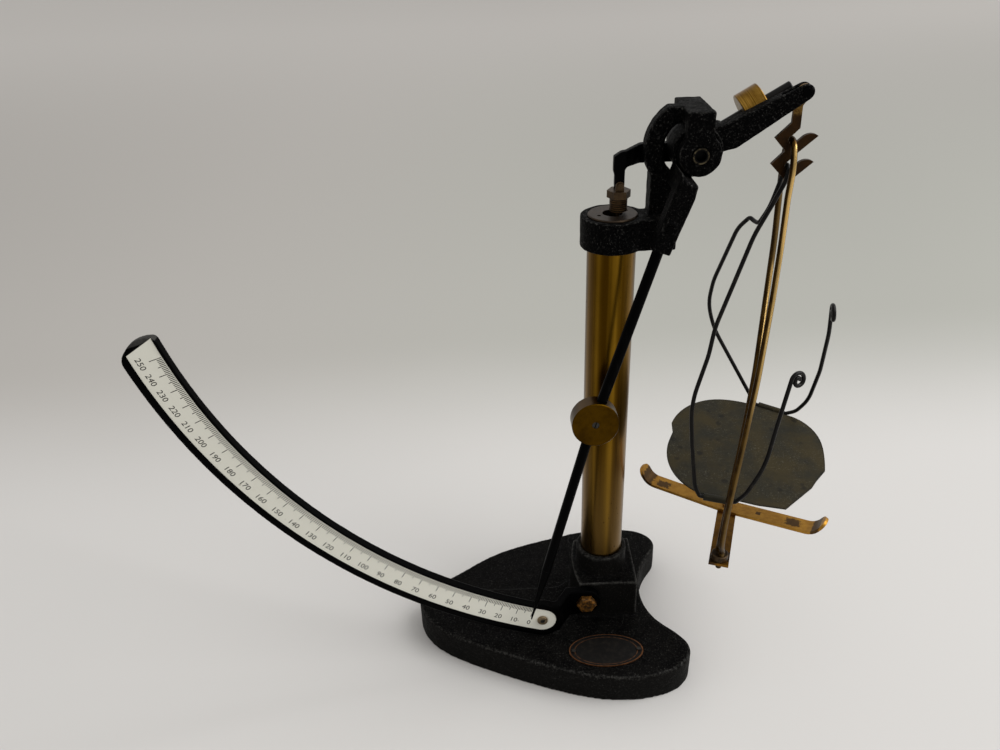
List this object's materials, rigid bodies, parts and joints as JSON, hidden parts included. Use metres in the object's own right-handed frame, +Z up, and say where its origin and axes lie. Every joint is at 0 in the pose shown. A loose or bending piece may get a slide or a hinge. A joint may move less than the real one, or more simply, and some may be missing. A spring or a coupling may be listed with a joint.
{
  "type": "quadrant balance",
  "caption": "Laboratory quadrant balance: pendulum beam with pointer on a brass dashpot column, curved scale, hanging pan.",
  "frame": {"origin": "column axis at table level, on the underside of the base's centre", "axes": "+X towards the pan, +Y to the rear, +Z up"},
  "size_m": [0.3819, 0.1333, 0.3412],
  "materials": {
    "black_enamel": "gloss stove enamel, worn at the edges",
    "aged_brass": "drawn tube and turned pieces, lacquer gone brown",
    "bright_brass": "polished, lightly tarnished",
    "dark_steel": "oxidised steel wire and screws",
    "sheet_aluminium": "rolled sheet, dulled",
    "ivory_scale": "cream enamel strip with black graduation",
    "copper_plate": "copper-coloured plate with a dark field, bare"
  },
  "bodies": {
    "root": {"base_casting": "black_enamel", "column_tube": "aged_brass", "column_plug": "aged_brass", "head_bracket": "black_enamel", "dashpot_cap": "aged_brass", "quadrant_arm": "black_enamel", "scale_strip": "ivory_scale", "scale_screw": "dark_steel", "quadrant_bolt": "bright_brass", "oval_plate": "copper_plate", "plate_pins": "copper_plate", "front_bearing_screw": "dark_steel", "rear_bearing_screw": "dark_steel"},
    "beam": {"beam_casting": "black_enamel", "beam_spindle": "dark_steel", "pointer_clamp_screw": "dark_steel", "adjusting_screw": "dark_steel", "damper_arm": "black_enamel", "pointer_rod": "black_enamel", "pointer_tip": "black_enamel", "hook_pin": "dark_steel"},
    "zero_nut": {"balance_nut": "bright_brass"},
    "sliding_weight": {"pointer_weight": "bright_brass", "weight_grub_screw": "dark_steel"},
    "damper": {"damper_clevis": "aged_brass", "damper_pin": "aged_brass", "damper_bush": "aged_brass", "damper_rod": "aged_brass", "damper_piston": "aged_brass", "piston_nut": "aged_brass"},
    "hook": {"hook_plate": "aged_brass"},
    "stirrup": {"stirrup_bow": "bright_brass", "bow_socket": "bright_brass", "stirrup_stem": "bright_brass", "stirrup_crossbar": "bright_brass", "stirrup_rivet": "bright_brass", "stirrup_nut": "bright_brass"},
    "pan": {"pan_dish": "sheet_aluminium", "pan_hanger": "dark_steel"}
  },
  "joints": [
    {"name": "beam_swing", "type": "hinge", "parent": "root", "child": "beam", "pos_m": [0.0383, 0, 0.313], "axis": [0, 1, 0], "range_deg": [0, 55]},
    {"name": "damper_hang", "type": "hinge", "parent": "beam", "child": "damper", "pos_m": [0.0027, 0, 0.2957], "axis": [0, 1, 0], "range_deg": [-55, 0]},
    {"name": "hook_hang", "type": "hinge", "parent": "beam", "child": "hook", "pos_m": [0.0892, 0, 0.3374], "axis": [0, 1, 0], "range_deg": [-55, 0]},
    {"name": "stirrup_swing", "type": "hinge", "parent": "hook", "child": "stirrup", "pos_m": [0.086, 0, 0.3149], "axis": [0, 1, 0], "range_deg": [-3, 1.5]},
    {"name": "pan_swing", "type": "hinge", "parent": "hook", "child": "pan", "pos_m": [0.08555, 0, 0.3022], "axis": [0, 1, 0], "range_deg": [-1.5, 3]},
    {"name": "weight_slide", "type": "slide", "parent": "beam", "child": "sliding_weight", "axis": [0.302, 0.0688, 0.9508], "range_m": [0, 0.06]},
    {"name": "zero_nut_slide", "type": "slide", "parent": "beam", "child": "zero_nut", "axis": [0.866, 0, 0.5], "range_m": [-0.005, 0.01]}
  ],
  "couplings": [
    {"joint": "damper_hang", "follows": "beam_swing", "ratio": -1},
    {"joint": "hook_hang", "follows": "beam_swing", "ratio": -1}
  ]
}
